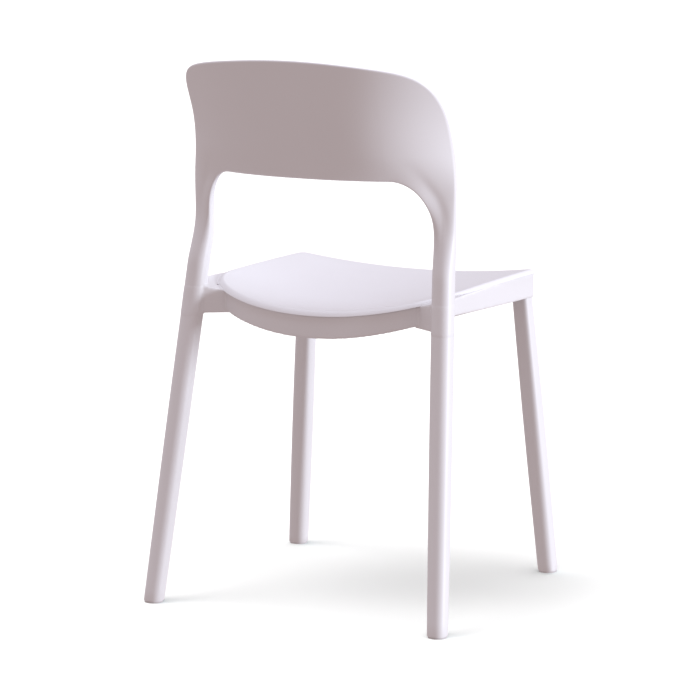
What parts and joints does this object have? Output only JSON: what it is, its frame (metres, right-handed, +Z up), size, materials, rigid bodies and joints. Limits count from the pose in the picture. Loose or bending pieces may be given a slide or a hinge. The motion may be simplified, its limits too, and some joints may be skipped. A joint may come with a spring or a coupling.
{
  "type": "stacking chair",
  "caption": "White moulded plastic stacking chair with a wraparound backrest over an open back, a dished seat and round splayed legs.",
  "frame": {"origin": "on the floor, at the middle of the chair's overall width and depth", "axes": "+Z up, the sitter faces -Y, +X to the sitter's left"},
  "size_m": [0.4748, 0.4494, 0.782],
  "materials": {
    "back_frame": "fine satin moulded polypropylene",
    "seat_frame": "fine satin moulded polypropylene",
    "seat_pan": "fine satin moulded polypropylene",
    "front_leg": "fine satin moulded polypropylene",
    "foot_glide": "smooth nylon, slightly scuffed",
    "stacking_pad": "soft matt elastomer",
    "steel": "zinc plated, satin",
    "brass": "turned brass, satin"
  },
  "bodies": {
    "root": {"back_frame": "back_frame", "seat_frame": "seat_frame", "seat_pan": "seat_pan", "front_leg_left": "front_leg", "front_leg_right": "front_leg", "foot_glide_front_left": "foot_glide", "foot_glide_front_right": "foot_glide", "foot_glide_rear_left": "foot_glide", "foot_glide_rear_right": "foot_glide", "stacking_pad_left": "stacking_pad", "stacking_pad_right": "stacking_pad", "rear_leg_bolts": "steel", "rear_leg_washers": "steel", "front_leg_bolts": "steel", "front_leg_washers": "steel", "seat_screws": "steel", "rear_leg_inserts": "brass", "front_leg_inserts": "brass"}
  },
  "joints": []
}
